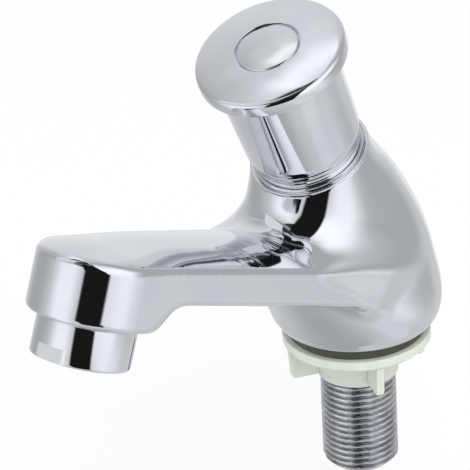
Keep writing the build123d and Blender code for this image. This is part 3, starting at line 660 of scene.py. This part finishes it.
CHROME = (0.82, 0.83, 0.86)
CHROME_SHADE = (0.77, 0.785, 0.82)
body_chrome = finish_material("polished_body_plate", CHROME, CHROME_SHADE, 0.035, 0.065, 1.0, 30,
                              700, ripple=0.00004, ripple_scale=55)
cap_chrome = finish_material("polished_button_plate", CHROME, CHROME_SHADE, 0.035, 0.06, 1.0, 45,
                             800)
disc_chrome = finish_material("satin_disc_plate", (0.80, 0.81, 0.83), (0.75, 0.76, 0.79), 0.08,
                              0.13, 1.0, 60, 2500)
collar_chrome = finish_material("turned_collar_plate", (0.78, 0.79, 0.82), CHROME_SHADE, 0.05, 0.1,
                                1.0, 60, 1200)
ring_chrome = finish_material("polished_outlet_ring", CHROME, CHROME_SHADE, 0.04, 0.07, 1.0, 60,
                              900)
shank_metal = finish_material("dull_threaded_plate", (0.66, 0.67, 0.69), (0.53, 0.54, 0.56), 0.16,
                              0.3, 1.0, 220, 2600, bump=0.00003)
gasket_rubber = finish_material("olive_gasket_rubber", (0.105, 0.100, 0.075), (0.075, 0.072, 0.055),
                                0.55, 0.75, 0.0, 160, 3000, bump=0.00004)
nut_plastic = finish_material("cream_nut_plastic", (0.72, 0.76, 0.68), (0.66, 0.70, 0.62), 0.32,
                              0.48, 0.0, 120, 1500, bump=0.00002, Subsurface_Weight=0.35,
                              Subsurface_Radius=(1.0, 1.0, 0.7), Subsurface_Scale=0.0015)
washer_plastic = finish_material("white_washer_plastic", (0.85, 0.85, 0.80), (0.79, 0.79, 0.74),
                                 0.4, 0.55, 0.0, 150, 1800)
strainer_plastic = finish_material("blue_grey_strainer", (0.17, 0.23, 0.31), (0.13, 0.18, 0.25),
                                   0.35, 0.5, 0.0, 200, 2000)
turned_brass = finish_material("turned_brass", (0.72, 0.53, 0.27), (0.62, 0.44, 0.21), 0.2, 0.35,
                               1.0, 150, 2200)
white_plastic = finish_material("white_moulded_plastic", (0.84, 0.84, 0.81), (0.79, 0.79, 0.76),
                                0.25, 0.38, 0.0, 120, 1600)
stainless = finish_material("stainless_steel", (0.60, 0.60, 0.61), (0.52, 0.52, 0.53), 0.18, 0.3,
                            1.0, 180, 2400)
seal_rubber = finish_material("black_seal_rubber", (0.022, 0.022, 0.024), (0.034, 0.034, 0.036),
                              0.5, 0.7, 0.0, 180, 2600)
grid_plastic = finish_material("grey_grid_plastic", (0.42, 0.44, 0.47), (0.35, 0.37, 0.40), 0.35,
                               0.5, 0.0, 180, 2200)

SLOT_MATERIAL = {
    "body_chrome": body_chrome, "cap_chrome": cap_chrome, "disc_chrome": disc_chrome,
    "collar_chrome": collar_chrome, "ring_chrome": ring_chrome, "shank_metal": shank_metal,
    "gasket_rubber": gasket_rubber, "nut_plastic": nut_plastic, "washer_plastic": washer_plastic,
    "strainer_plastic": strainer_plastic, "brass": turned_brass, "white_plastic": white_plastic,
    "stainless": stainless, "seal_rubber": seal_rubber, "grid_plastic": grid_plastic,
}
for part in frame["record"]["subparts"]:
    dress(frame["nodes"][part["node"]], SLOT_MATERIAL[part["material_slot"]])


# Pieces on the tap's body

points, faces, normals = skin(body_field, SKIN_LOW, SKIN_HIGH, SKIN_STEP)
new_piece("tap_casting", points, faces, "tap_body", "body_chrome", ("body_casting",), normals)

rim_profile = rounded([
    (RIM_BORE, RIM_SEAM, 0), (NECK_RADIUS, RIM_SEAM, 0), (NECK_RADIUS, RIM_TOP, 0.55),
    (RIM_BORE, RIM_TOP, 0.2),
])
new_piece("neck_rim", *turned(NECK, rim_profile), "tap_body", "body_chrome")

collar_profile = rounded([
    (COLLAR_BORE, COLLAR_FOOT, 0), (COLLAR_THREAD_RADIUS, COLLAR_FOOT, 0.2),
    (COLLAR_THREAD_RADIUS, COLLAR_FLANGE_LOW, 0), (COLLAR_FLANGE_RADIUS, COLLAR_FLANGE_LOW, 0),
    (COLLAR_FLANGE_RADIUS, COLLAR_FLANGE_TOP, 0.2), (COLLAR_BAND_RADIUS, COLLAR_BAND_LOW, 0.2),
    (COLLAR_BAND_RADIUS, COLLAR_BAND_TOP, 0.15), (COLLAR_RADIUS, COLLAR_STEP_TOP, 0.1),
    (COLLAR_RADIUS, COLLAR_LINE_LOW, 0.1), (COLLAR_LINE_RADIUS, COLLAR_LINE_LOW, 0.08),
    (COLLAR_LINE_RADIUS, COLLAR_LINE_TOP, 0.08), (COLLAR_RADIUS, COLLAR_LINE_TOP, 0.1),
    (COLLAR_RADIUS, COLLAR_TOP, 0.8), (BUSH_BORE, COLLAR_TOP, 0), (BUSH_BORE, COLLAR_LID_LOW, 0),
    (COLLAR_BORE, COLLAR_LID_LOW, 0),
])
new_piece("neck_collar", *turned(NECK, collar_profile), "tap_body", "collar_chrome",
          ("neck_bonnet",))


def wrench_flats(radius, height, angle):
    """Two flats across the spout's line: near the ring's low end the radius is held to half their
    distance over the sine's size."""
    to_flat = RING_FLATS_APART / 2 / np.maximum(np.abs(np.sin(angle)), 0.1)
    cut = np.where(height < RING_FLATS_TOP, to_flat, 99.0)
    return np.minimum(radius, np.maximum(cut, RING_FLATS_FLOOR)), height


ring_profile = rounded([
    (RING_BORE, RING_NECK_TOP, 0), (RING_NECK_RADIUS, RING_NECK_TOP, 0.1),
    (RING_NECK_RADIUS, RING_TOP, 0), (RING_RADIUS, RING_TOP, 0.25),
    (RING_RADIUS, RING_FLATS_TOP + RING_FLATS_LEAD_IN, 0), (RING_RADIUS, RING_FLATS_TOP, 0),
    (RING_RADIUS, RING_FLATS_TOP - RING_FLATS_STEP, 0), (RING_RADIUS, RING_LOW, 0.7),
    (RING_LIP_RADIUS, RING_LOW, 0.3), (RING_LIP_RADIUS, RING_LIP_TOP, 0.1),
    (RING_BORE, RING_LIP_TOP, 0),
])
new_piece("outlet_ring", *turned(OUTLET, ring_profile, 192, wrench_flats), "tap_body",
          "ring_chrome", ("aerator_housing",))

gasket_profile = rounded([
    (NUT_BORE, 0, 0.1), (GASKET_RADIUS, 0, GASKET_EDGE),
    (GASKET_RADIUS, GASKET_THICKNESS, GASKET_EDGE), (NUT_BORE, GASKET_THICKNESS, 0.1),
])
new_piece("deck_gasket", *turned(BASE, gasket_profile), "tap_body", "gasket_rubber",
          ("base_gasket",))


def thread(radius, height, angle):
    """A right-hand thread: the outer wall rises from root to crest with the cosine of its phase,
    which climbs one pitch a turn, flattened at crest and root, faded in at the top and cut to a
    cone at the low end."""
    first_crest = THREAD_START - THREAD_PITCH / 2
    phase = (height - first_crest - angle * THREAD_PITCH / (2 * np.pi)) / THREAD_PITCH
    wave = np.clip(0.5 + THREAD_STEEPNESS * np.cos(2 * np.pi * phase), 0, 1)
    fade = np.clip((THREAD_START - height) / THREAD_FADE, 0, 1)
    rise = wave * wave * (3 - 2 * wave) * THREAD_DEPTH * fade
    outer = np.minimum(THREAD_ROOT + rise, SHANK_END_RADIUS + (height - SHANK_LOW))
    return np.where(radius > (SHANK_BORE + THREAD_ROOT) / 2, outer, radius), height


thread_rows = np.arange(THREAD_START, SHANK_LOW, -THREAD_PITCH / THREAD_ROWS)
shank_rows = np.concatenate([[SHANK_TOP], thread_rows, [SHANK_LOW]])
shank_profile = np.concatenate([
    np.stack([np.full(len(shank_rows), THREAD_ROOT), shank_rows], 1),
    [[SHANK_BORE, SHANK_LOW], [SHANK_BORE, SHANK_TOP]]])
new_piece("threaded_shank", *turned(BASE, shank_profile, 112, thread), "tap_body", "shank_metal",
          ("inlet_shank",))


# Push button

def crown(radius):
    """Height of the button's crown: a parabola that falls from its middle."""
    return CROWN_TOP - CROWN_FALL * (np.asarray(radius) / CROWN_SPAN) ** 2


crown_radius = np.linspace(GROOVE_RADIUS, CROWN_END, CROWN_POINTS)
crown_line = np.stack([crown_radius, crown(crown_radius), np.zeros(CROWN_POINTS)], 1)[1:-1]
cap_profile = rounded([
    (GROOVE_RADIUS, DISC_FLOOR, 0), (GROOVE_RADIUS, float(crown(GROOVE_RADIUS)), 0.18),
    *crown_line.tolist(), (HEAD_SHOULDER_RADIUS, HEAD_SHOULDER, 1.3),
    (HEAD_RADIUS, HEAD_BAND_TOP, 0.6), (HEAD_RADIUS, HEAD_BAND_LOW, 0.75),
    (SKIRT_TOP_RADIUS, SKIRT_TOP, 0.35), (SKIRT_LOW_RADIUS, SKIRT_BEVEL, 0.6),
    (SKIRT_END_RADIUS, SKIRT_LOW, 0.15), (CAP_BORE, SKIRT_LOW, 0), (CAP_BORE, CAP_ROOF, 0),
    (CAP_BOSS_RADIUS, CAP_ROOF, 0), (CAP_BOSS_RADIUS, CAP_BOSS_LOW, 0),
    (SCREW_BORE, CAP_BOSS_LOW, 0), (SCREW_BORE, SCREW_SEAT, 0), (SCREW_HEAD_BORE, SCREW_SEAT, 0),
    (SCREW_HEAD_BORE, DISC_FLOOR, 0),
])
new_piece("push_cap_shell", *turned(NECK, cap_profile, 192), "push_button", "cap_chrome",
          ("push_cap",))

disc_line = np.linspace(0, DISC_RADIUS, DISC_POINTS)
disc_height = DISC_TOP - disc_line ** 2 / DISC_FLATNESS
disc_dome = np.stack([disc_line, disc_height, np.zeros(DISC_POINTS)], 1)[:-1]
disc_profile = rounded([
    *disc_dome.tolist(), (DISC_RADIUS, float(disc_height[-1]), DISC_EDGE),
    (DISC_RADIUS, DISC_FLOOR, 0), (0, DISC_FLOOR, 0),
])
new_piece("bare_disc", *turned(NECK, disc_profile, 160), "push_button", "disc_chrome",
          ("cap_disc",))


# Backnut

def wing_shell(turn):
    """One wing: a rounded outline in the plane of the axis, given its thickness both ways."""
    line = rounded([
        (WING_ROOT_RADIUS, WING_TOP, 0), (WING_RADIUS, WING_TOP, 0),
        (WING_FOOT_RADIUS, WING_LOW, WING_CORNER), (WING_ROOT_RADIUS, WING_LOW, 0),
    ], steps=7)
    count = len(line)
    local = np.concatenate([np.c_[line[:, 0], np.full(count, side * WING_HALF_THICKNESS), line[:, 1]]
                            for side in (-1, 1)])
    cosine, sine = math.cos(turn), math.sin(turn)
    spun = local @ np.array([[cosine, sine, 0], [-sine, cosine, 0], [0, 0, 1]])
    i = np.arange(count)
    walls = np.stack([i, (i + 1) % count, (i + 1) % count + count, i + count], 1).tolist()
    return spun, walls + [i[::-1].tolist(), (i + count).tolist()]


nut_profile = rounded([
    (NUT_BORE, NUT_RECESS, 0), (NUT_RECESS_RADIUS, NUT_RECESS, 0), (NUT_RECESS_RADIUS, 0, 0.1),
    (NUT_FLANGE_RADIUS, 0, 0.3), (NUT_FLANGE_RADIUS, NUT_FLANGE_RIM, 0.35),
    (NUT_FLANGE_FOOT_RADIUS, NUT_FLANGE_FOOT, 0.4), (NUT_HUB_TOP_RADIUS, NUT_FLANGE_FOOT, 0.8),
    (NUT_HUB_FOOT_RADIUS, NUT_LOW, 0.3), (NUT_BORE, NUT_LOW, 0.1),
])
nut_points, nut_faces = turned(BASE, nut_profile)
nut_faces = nut_faces.tolist()
for wing in range(WING_COUNT):
    wing_points, wing_faces = wing_shell(math.radians(WING_TURN + 360 / WING_COUNT * wing))
    nut_faces += [[corner + len(nut_points) for corner in face] for face in wing_faces]
    nut_points = np.concatenate([nut_points, wing_points])
nut = new_piece("wing_backnut", nut_points, nut_faces, "wing_nut", "nut_plastic", ("backnut",))
edge = nut.modifiers.new("rounded_edges", "BEVEL")
edge.width = NUT_EDGE / 1000
edge.segments = 3
edge.limit_method = "ANGLE"
edge.angle_limit = NUT_EDGE_ANGLE


# Studio

STUDIO_LEVEL = 0.67
MIRRORED_TINT = (0.965, 0.98, 1.0, 1)
EVEN_LEVEL = 0.72
FLOOR_LEVEL = -51.8
FLOOR_REACH = 6000
FLOOR_TILES = 8
FLOOR_GREY = 0.86
FLOOR_GLOW = 0.88
LAMP_TARGET = Vector((0, -0.04, 0.04))
LAMP_SIZE = 0.9

# The cards that the chrome mirrors, fitted to the light and dark patches in the photograph. Each
# has its middle azimuth, half width, middle elevation, half height, softness, level, lean and
# slant, and covers those above it.
CARDS = [
    (186, 50, 82, 32, 18, 0.90, 0.25, 0.23),  # pale ceiling
    (195, 37, 1, 62, 31, 0.47, 0.20, -0.10),  # dim wall on the -X side
    (355, 44, 22, 67, 34, 1.07, -0.37, -0.03),  # bright wall on the +X side
    (136, 20, 0, 21, 3, 0.86, -0.03, -0.25),  # pale card behind, level with the tap
    (255, 33, -8, 50, 25, 1.06, 0.06, 0.49),  # bright wall before the spout
    (62, 42, 42, 78, 23, 0.49, 0.24, -0.18),  # dim wall behind, on the +X side
    (229, 128, -80, 38, 32, 0.46, 0.14, -0.01),  # dim ground
    (353, 63, 32, 45, 38, 1.21, 0.06, 0.11),  # window in the bright wall
    (138, 33, 27, 39, 27, 0.80, -0.12, 0.43),  # pale wall behind, on the -X side
    (344, 60, -36, 16, 12, 0.78, -0.42, -0.32),  # pale strip low on the +X side
    (192, 29, 30, 5, 3, 0.62, -0.19, 0.69),  # narrow strip on the dim wall
    (161, 33, 67, 9, 9, 1.19, -0.37, 0.04),  # bright strip high on the -X side
    (169, 16, 55, 12, 8, 0.74, 0.03, 0.06),  # pale card under that strip
    (248, 67, 77, 30, 3, 0.04, 0.43, -0.41),  # black flag overhead
    (279, 67, 57, 6, 2, 0.33, -0.12, 0.43),  # grey strip at the flag's lower edge
    (232, 26, 54, 24, 2, 0.83, -0.44, 0.78),  # pale card hung before the flag
    (119, 18, -21, 13, 8, 0.89, -0.89, -0.03),  # pale card low behind
    (306, 24, 21, 49, 5, 0.01, -0.15, 0.16),  # black card on the camera's side
]


def card_group():
    """Mask of a soft-edged card in the studio: one inside its azimuth and elevation, in degrees,
    falling to zero over the softness. Each side may lean: the way across has the lean's share of
    the way up taken off, and the way up the slant's share of the way across."""
    names = ("Azimuth", "Elevation", "Middle Azimuth", "Half Width", "Middle Elevation",
             "Half Height", "Softness", "Lean", "Slant")
    group, source, sink = new_group("studio_card", [(n, "NodeSocketFloat", 10.0) for n in names],
                                    [("Mask", "NodeSocketFloat")])
    get = source.outputs

    def math_node(kind, *values):
        return node(group, "ShaderNodeMath", {"operation": kind},
                    **{f"i{i}": value for i, value in enumerate(values)}).outputs[0]

    def fall(distance, half):
        start = math_node("SUBTRACT", half, get["Softness"])
        return node(group, "ShaderNodeMapRange", {"interpolation_type": "SMOOTHSTEP"},
                    Value=distance, From_Min=start, From_Max=half, To_Min=1.0,
                    To_Max=0.0).outputs["Result"]

    turn = math_node("SUBTRACT", get["Azimuth"], get["Middle Azimuth"])
    across = math_node("WRAP", turn, 180.0, -180.0)
    up = math_node("SUBTRACT", get["Elevation"], get["Middle Elevation"])
    leaned = math_node("SUBTRACT", across, math_node("MULTIPLY", up, get["Lean"]))
    slanted = math_node("SUBTRACT", up, math_node("MULTIPLY", across, get["Slant"]))
    product = math_node("MULTIPLY", fall(math_node("ABSOLUTE", leaned), get["Half Width"]),
                        fall(math_node("ABSOLUTE", slanted), get["Half Height"]))
    group.links.new(product, sink.inputs["Mask"])
    return group


def studio_world():
    """White where the camera looks past the object, an even light for matt surfaces, and soft cards
    all round, two of them nearly black, for what mirrors them."""
    world = bpy.data.worlds.new("studio")
    bpy.context.scene.world = world
    world.use_nodes = True
    tree = world.node_tree
    tree.nodes.clear()
    output = tree.nodes.new("ShaderNodeOutputWorld")
    way = node(tree, "ShaderNodeSeparateXYZ",
               Vector=node(tree, "ShaderNodeTexCoord").outputs["Generated"]).outputs

    def degrees(angle):
        return node(tree, "ShaderNodeMath", {"operation": "MULTIPLY"}, i0=angle.outputs[0],
                    i1=180 / math.pi).outputs[0]

    azimuth = degrees(node(tree, "ShaderNodeMath", {"operation": "ARCTAN2"}, i0=way["Y"],
                           i1=way["X"]))
    elevation = degrees(node(tree, "ShaderNodeMath", {"operation": "ARCSINE"}, i0=way["Z"]))
    card = card_group()
    level = STUDIO_LEVEL
    for middle, half_width, height, half_height, softness, strength, lean, slant in CARDS:
        mask = placed(tree, card, {
            "Azimuth": azimuth, "Elevation": elevation, "Middle Azimuth": middle,
            "Half Width": half_width, "Middle Elevation": height, "Half Height": half_height,
            "Softness": softness, "Lean": lean, "Slant": slant})
        level = node(tree, "ShaderNodeMix", {"data_type": "FLOAT"}, i0=mask.outputs["Mask"],
                     i2=level, i3=strength).outputs[0]
    rays = node(tree, "ShaderNodeLightPath").outputs
    mirrored = node(tree, "ShaderNodeBackground", Color=MIRRORED_TINT, Strength=level)
    even = node(tree, "ShaderNodeBackground", Color=(1, 1, 1, 1), Strength=EVEN_LEVEL)
    white = node(tree, "ShaderNodeBackground", Color=(1, 1, 1, 1), Strength=1.0)
    lit = node(tree, "ShaderNodeMixShader", i0=rays["Is Glossy Ray"], i1=even.outputs[0],
               i2=mirrored.outputs[0])
    seen = node(tree, "ShaderNodeMixShader", i0=rays["Is Camera Ray"], i1=lit.outputs[0],
                i2=white.outputs[0])
    tree.links.new(seen.outputs[0], output.inputs["Surface"])


def studio_floor():
    """A wide pale floor, low enough for the backnut run down to the shank's end. The camera sees
    it white with the object's soft shadow. Mirrored rays pass through it to the studio, and so
    does the camera's look from below."""
    line = np.linspace(-FLOOR_REACH, FLOOR_REACH, FLOOR_TILES + 1)
    across, along = np.meshgrid(line, line, indexing="ij")
    spots = np.stack([across, along, np.full_like(across, FLOOR_LEVEL)], -1).reshape(-1, 3) / 1000
    i, j = np.indices((FLOOR_TILES, FLOOR_TILES))
    first = i * (FLOOR_TILES + 1) + j
    after = first + FLOOR_TILES + 1
    quads = np.stack([first, after, after + 1, first + 1], -1).reshape(-1, 4)
    mesh = bpy.data.meshes.new("studio_floor")
    mesh.from_pydata(spots.tolist(), [], quads.tolist())
    floor = bpy.data.objects.new("studio_floor", mesh)
    bpy.context.collection.objects.link(floor)
    material = bpy.data.materials.new("pale_floor")
    material.use_nodes = True
    tree = material.node_tree
    tree.nodes.clear()
    output = tree.nodes.new("ShaderNodeOutputMaterial")
    rays = node(tree, "ShaderNodeLightPath").outputs
    matt = node(tree, "ShaderNodeBsdfDiffuse", Color=(FLOOR_GREY, FLOOR_GREY, FLOOR_GREY, 1))
    glow = node(tree, "ShaderNodeEmission", Color=(1, 1, 1, 1), Strength=rays["Is Camera Ray"])
    seen = node(tree, "ShaderNodeMixShader", i0=FLOOR_GLOW, i1=matt.outputs[0], i2=glow.outputs[0])
    lit = node(tree, "ShaderNodeMixShader", i0=rays["Is Camera Ray"], i1=matt.outputs[0],
               i2=seen.outputs[0])
    clear = node(tree, "ShaderNodeBsdfTransparent")
    beneath = node(tree, "ShaderNodeNewGeometry").outputs["Backfacing"]
    passed = node(tree, "ShaderNodeMath", {"operation": "MAXIMUM"}, i0=rays["Is Glossy Ray"],
                  i1=beneath)
    whole = node(tree, "ShaderNodeMixShader", i0=passed.outputs[0], i1=lit.outputs[0],
                 i2=clear.outputs[0])
    tree.links.new(whole.outputs[0], output.inputs["Surface"])
    dress(floor, material)


def studio_lamp(name, place, watts):
    """A soft square lamp that looks at the middle of the tap and isn't mirrored in it."""
    data = bpy.data.lights.new(name, "AREA")
    data.shape = "SQUARE"
    data.size = LAMP_SIZE
    data.energy = watts
    lamp = bpy.data.objects.new(name, data)
    lamp.location = place
    lamp.rotation_euler = (LAMP_TARGET - Vector(place)).to_track_quat("-Z", "Y").to_euler()
    lamp.visible_glossy = False
    bpy.context.collection.objects.link(lamp)


def photo_camera():
    """The camera at the photograph's place: its right, up and backward axes and its place, in
    metres, as columns."""
    data = bpy.data.cameras.new("photo_camera")
    data.sensor_width = 36
    data.lens = 293.06
    data.clip_start = 0.05
    data.clip_end = 50
    camera = bpy.data.objects.new("photo_camera", data)
    camera.matrix_world = Matrix((
        (0.76108, -0.26443, 0.59231, 0.592306),
        (0.64697, 0.37519, -0.66382, -0.711933),
        (-0.04669, 0.88843, 0.45663, 0.505422),
        (0, 0, 0, 1),
    ))
    bpy.context.collection.objects.link(camera)
    bpy.context.scene.camera = camera


studio_world()
studio_floor()
studio_lamp("key_lamp", (0.9, -0.5, 1.3), 14)
studio_lamp("side_lamp", (-1.1, -0.9, 0.9), 6)
photo_camera()
bpy.context.scene.view_settings.view_transform = "Standard"
